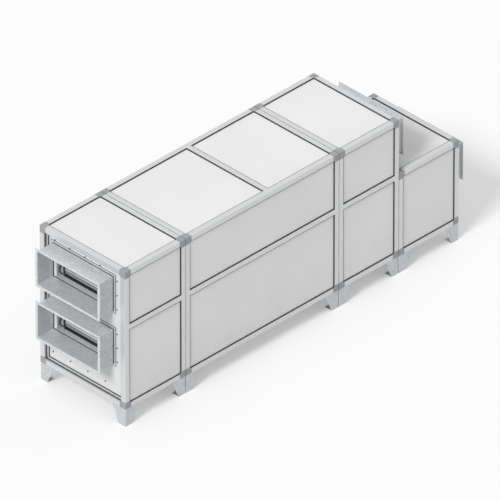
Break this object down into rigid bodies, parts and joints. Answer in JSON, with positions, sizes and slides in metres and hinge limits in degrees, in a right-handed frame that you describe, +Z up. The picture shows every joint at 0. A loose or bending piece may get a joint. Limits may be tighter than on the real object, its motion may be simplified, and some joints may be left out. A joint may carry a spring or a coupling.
{
  "type": "air handling unit",
  "caption": "Modular two-deck air handling unit: framed, panelled sections on sheet-metal feet, flanged duct spigots at both ends and gear-coupled dampers behind the front ones.",
  "frame": {"origin": "on the floor under the middle of the bounding box", "axes": "+X along the unit from the front spigots to the low section, -Y the access side, +Z up"},
  "size_m": [4.34, 1.025, 1.575],
  "materials": {
    "profiles": "satin anodised extrusion",
    "corner_caps": "moulded, fine texture",
    "feet": "hot-dip galvanised sheet",
    "panels": "off-white powder coat",
    "end_plate": "pale grey powder coat",
    "spigots": "galvanised sheet",
    "blades": "mill-finish extrusion",
    "gears": "moulded natural nylon"
  },
  "bodies": {
    "casing": {"front_section_frame": "profiles", "front_section_corners": "corner_caps", "front_section_feet": "feet", "long_section_frame": "profiles", "long_section_corners": "corner_caps", "long_section_feet": "feet", "rear_section_frame": "profiles", "rear_section_corners": "corner_caps", "rear_section_feet": "feet", "low_section_frame": "profiles", "low_section_corners": "corner_caps", "low_section_feet": "feet", "mid_rails": "profiles", "roof_cross_rail": "profiles", "roof_panels": "panels", "floor_panels": "panels", "deck_panels": "panels", "access_side_upper_panels": "panels", "access_side_lower_panels": "panels", "far_side_upper_panels": "panels", "far_side_lower_panels": "panels", "front_end_plate": "end_plate", "front_end_trim": "profiles", "rear_upper_end_panel": "panels", "rear_lower_end_panel": "panels", "front_upper_spigot": "spigots", "front_lower_spigot": "spigots", "rear_upper_spigot": "spigots", "rear_lower_spigot": "spigots", "upper_damper_casing": "spigots", "lower_damper_casing": "spigots"},
    "upper_leaf_1": {"upper_damper_blade_1": "blades", "upper_damper_gear_1": "gears"},
    "upper_leaf_2": {"upper_damper_blade_2": "blades", "upper_damper_gear_2": "gears"},
    "upper_leaf_3": {"upper_damper_blade_3": "blades", "upper_damper_gear_3": "gears"},
    "lower_leaf_1": {"lower_damper_blade_1": "blades", "lower_damper_gear_1": "gears"},
    "lower_leaf_2": {"lower_damper_blade_2": "blades", "lower_damper_gear_2": "gears"},
    "lower_leaf_3": {"lower_damper_blade_3": "blades", "lower_damper_gear_3": "gears"}
  },
  "joints": [
    {"name": "upper_damper_turn_1", "type": "hinge", "parent": "casing", "child": "upper_leaf_1", "pos_m": [-1.9045, 0.021, 1.167], "axis": [0, 1, 0], "range_deg": [0, 90]},
    {"name": "upper_damper_turn_2", "type": "hinge", "parent": "casing", "child": "upper_leaf_2", "pos_m": [-1.9045, 0.021, 1.269], "axis": [0, 1, 0], "range_deg": [-90, 0]},
    {"name": "upper_damper_turn_3", "type": "hinge", "parent": "casing", "child": "upper_leaf_3", "pos_m": [-1.9045, 0.021, 1.371], "axis": [0, 1, 0], "range_deg": [0, 90]},
    {"name": "lower_damper_turn_1", "type": "hinge", "parent": "casing", "child": "lower_leaf_1", "pos_m": [-1.9045, 0.021, 0.629], "axis": [0, 1, 0], "range_deg": [0, 90]},
    {"name": "lower_damper_turn_2", "type": "hinge", "parent": "casing", "child": "lower_leaf_2", "pos_m": [-1.9045, 0.021, 0.731], "axis": [0, 1, 0], "range_deg": [-90, 0]},
    {"name": "lower_damper_turn_3", "type": "hinge", "parent": "casing", "child": "lower_leaf_3", "pos_m": [-1.9045, 0.021, 0.833], "axis": [0, 1, 0], "range_deg": [0, 90]}
  ],
  "couplings": [
    {"joint": "upper_damper_turn_2", "follows": "upper_damper_turn_1", "ratio": -1},
    {"joint": "upper_damper_turn_3", "follows": "upper_damper_turn_1", "ratio": 1},
    {"joint": "lower_damper_turn_2", "follows": "lower_damper_turn_1", "ratio": -1},
    {"joint": "lower_damper_turn_3", "follows": "lower_damper_turn_1", "ratio": 1}
  ]
}
